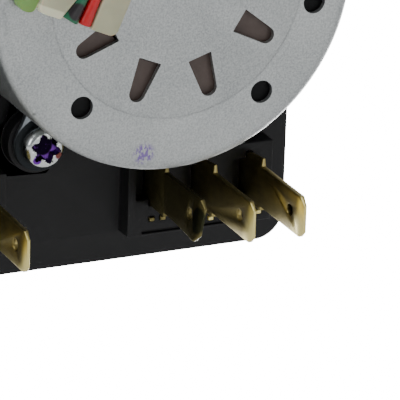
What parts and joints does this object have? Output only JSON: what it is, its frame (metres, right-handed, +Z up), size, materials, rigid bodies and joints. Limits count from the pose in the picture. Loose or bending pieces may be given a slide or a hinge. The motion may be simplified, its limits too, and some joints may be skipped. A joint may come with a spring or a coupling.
{
  "type": "dryer timer",
  "caption": "Motor-driven appliance timer: black housing with cam switches, round claw-pole motor on the back, brass tabs and a flatted knob shaft.",
  "frame": {"origin": "on the knob shaft's axis, at the front face of the mounting plate", "axes": "+Y out of the front along the knob shaft, +Z up, +X right seen from the back; the motor faces -Y"},
  "size_m": [0.0762, 0.0819, 0.084],
  "materials": {
    "black_moulding": "moulded black thermoplastic, fine satin grain",
    "galvanised_steel": "galvanised pressed sheet",
    "zinc_steel": "dull zinc plated drawn sheet",
    "plated_steel": "bright zinc plated screws",
    "ground_steel": "ground shaft steel",
    "spring_steel": "blue-grey hardened strip",
    "tab_brass": "stamped brass sheet, satin",
    "gear_brass": "hobbed brass",
    "bush_bronze": "sintered bronze",
    "spring_bronze": "phosphor bronze strip",
    "silver_contact": "silver alloy contact",
    "copper_wire": "enamelled copper winding",
    "ferrite": "sintered ferrite ring magnet",
    "cream_nylon": "natural cream nylon",
    "white_acetal": "white acetal moulding",
    "natural_acetal": "natural acetal gears",
    "red_sleeve": "red insulated lead",
    "green_sleeve": "dark green insulated lead",
    "black_rubber": "moulded rubber grommets"
  },
  "bodies": {
    "case": {"housing": "black_moulding", "mounting_plate": "galvanised_steel", "plate_screws": "plated_steel", "motor_can": "zinc_steel", "pole_plate": "zinc_steel", "motor_base_plate": "zinc_steel", "motor_screws": "plated_steel", "coil_bobbin": "cream_nylon", "coil_winding": "copper_wire", "rotor_pin": "ground_steel", "idler_pins": "ground_steel", "output_bush": "bush_bronze", "front_bush": "cream_nylon", "terminal_1": "tab_brass", "terminal_2": "tab_brass", "terminal_3": "tab_brass", "terminal_4": "tab_brass", "terminal_5": "tab_brass", "terminal_6": "tab_brass", "spring_blade_1": "spring_bronze", "spring_blade_2": "spring_bronze", "spring_blade_3": "spring_bronze", "moving_contacts": "silver_contact", "fixed_contacts": "silver_contact", "lead_connector": "cream_nylon", "red_lead": "red_sleeve", "green_lead": "green_sleeve", "lead_grommets": "black_rubber"},
    "cam": {"program_cam": "white_acetal", "knob_shaft": "ground_steel", "retaining_ring": "spring_steel", "clutch_spring": "spring_steel"},
    "drive_wheel": {"drive_gear": "natural_acetal"},
    "rotor": {"rotor_magnet": "ferrite", "rotor_hub": "natural_acetal"},
    "idler_1": {"idler_gear_1": "natural_acetal"},
    "idler_2": {"idler_gear_2": "natural_acetal"},
    "idler_3": {"idler_gear_3": "natural_acetal"},
    "output": {"output_gear": "natural_acetal", "output_shaft": "ground_steel", "output_pinion": "gear_brass"}
  },
  "joints": [
    {"name": "knob_turn", "type": "hinge", "parent": "case", "child": "cam", "pos_m": [0, -0.03, 0], "axis": [0, 1, 0], "continuous": true},
    {"name": "rotor_spin", "type": "hinge", "parent": "case", "child": "rotor", "pos_m": [0.009, -0.03, 0.008], "axis": [0, 1, 0], "continuous": true},
    {"name": "idler_1_spin", "type": "hinge", "parent": "case", "child": "idler_1", "pos_m": [0.01922, -0.03, 0.00329], "axis": [0, 1, 0], "continuous": true},
    {"name": "idler_2_spin", "type": "hinge", "parent": "case", "child": "idler_2", "pos_m": [0.00864, -0.03, -0.00056], "axis": [0, 1, 0], "continuous": true},
    {"name": "idler_3_spin", "type": "hinge", "parent": "case", "child": "idler_3", "pos_m": [0.01922, -0.03, 0.00329], "axis": [0, 1, 0], "continuous": true},
    {"name": "output_spin", "type": "hinge", "parent": "case", "child": "output", "pos_m": [0.01573, -0.03, 0.01398], "axis": [0, 1, 0], "continuous": true},
    {"name": "drive_wheel_spin", "type": "hinge", "parent": "case", "child": "drive_wheel", "pos_m": [0, -0.03, 0], "axis": [0, 1, 0], "continuous": true}
  ],
  "couplings": [
    {"joint": "idler_1_spin", "follows": "rotor_spin", "ratio": -0.16667},
    {"joint": "idler_2_spin", "follows": "rotor_spin", "ratio": 0.027778},
    {"joint": "idler_3_spin", "follows": "rotor_spin", "ratio": -0.0046296},
    {"joint": "output_spin", "follows": "rotor_spin", "ratio": 0.0007716},
    {"joint": "drive_wheel_spin", "follows": "rotor_spin", "ratio": -0.0001286}
  ]
}
